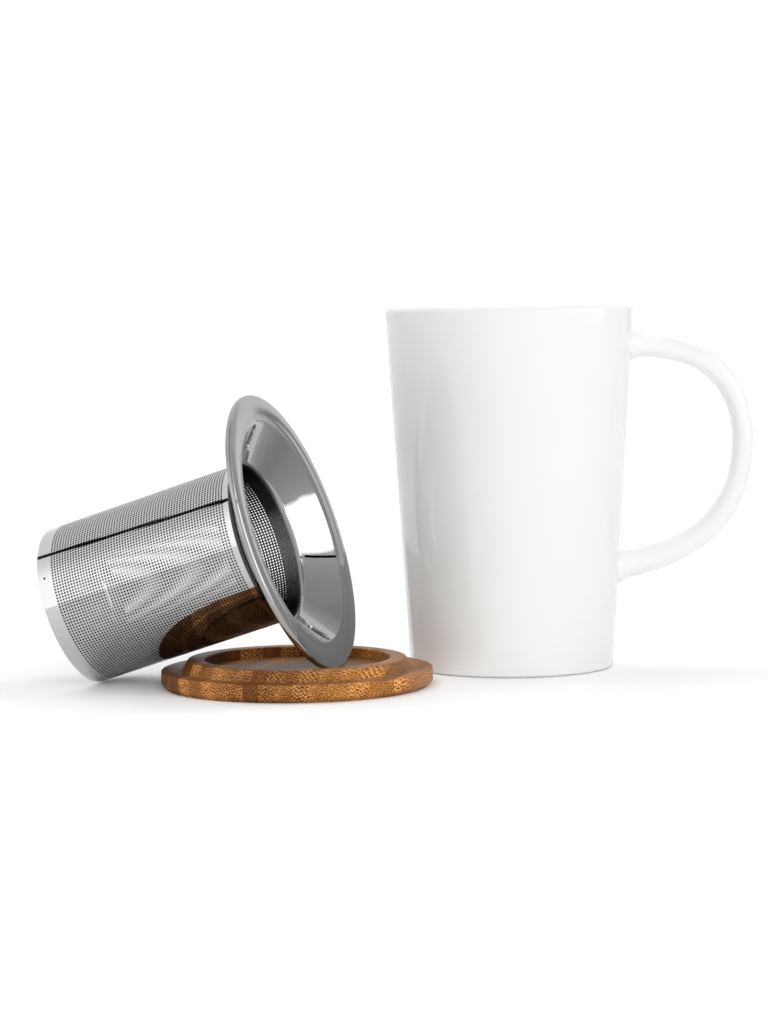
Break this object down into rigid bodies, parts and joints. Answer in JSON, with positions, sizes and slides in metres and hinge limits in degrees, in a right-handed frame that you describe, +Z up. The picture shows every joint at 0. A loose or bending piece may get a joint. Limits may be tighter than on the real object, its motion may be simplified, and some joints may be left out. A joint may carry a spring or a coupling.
{
  "type": "tea mug with infuser and lid",
  "caption": "Tapered porcelain mug with ear handle, a lift-out perforated steel infuser with a wide flange, and a loose turned bamboo lid with a locating ring.",
  "frame": {"origin": "centre of the mug's foot ring, in the plane of the table", "axes": "+Z up through the mug's rim, +X from the mug's axis towards its handle, +Y away from the lid and infuser's near side"},
  "size_m": [0.2414, 0.1375, 0.1237],
  "materials": {
    "porcelain": "clear gloss glaze over white porcelain",
    "polished_steel": "mirror-polished pressed stainless sheet",
    "perforated_steel": "polished perforated stainless sheet",
    "bamboo_light": "oiled carbonised bamboo, light strip",
    "bamboo_mid": "oiled carbonised bamboo, middle strip",
    "bamboo_dark": "oiled carbonised bamboo, dark strip"
  },
  "bodies": {
    "mug": {"mug_body": "porcelain", "mug_handle": "porcelain"},
    "lid": {"lid_strip_01": "bamboo_light", "lid_strip_02": "bamboo_mid", "lid_strip_03": "bamboo_dark", "lid_strip_04": "bamboo_light", "lid_strip_05": "bamboo_mid", "lid_strip_06": "bamboo_dark", "lid_strip_07": "bamboo_light", "lid_strip_08": "bamboo_mid", "lid_strip_09": "bamboo_dark", "lid_strip_10": "bamboo_light", "lid_strip_11": "bamboo_mid", "lid_strip_12": "bamboo_dark", "lid_strip_13": "bamboo_light", "lid_strip_14": "bamboo_mid", "lid_strip_15": "bamboo_dark", "lid_strip_16": "bamboo_light", "lid_strip_17": "bamboo_mid", "lid_strip_18": "bamboo_dark"},
    "infuser": {"infuser_collar": "polished_steel", "infuser_basket": "perforated_steel", "infuser_base": "perforated_steel"}
  },
  "joints": [
    {"name": "lid_lift", "type": "slide", "parent": "mug", "child": "lid", "axis": [-0.0739, -0.0462, 0.9962], "range_m": [0, 0.15]},
    {"name": "infuser_lift", "type": "slide", "parent": "lid", "child": "infuser", "axis": [0, 0, 1], "range_m": [0, 0.15]}
  ]
}
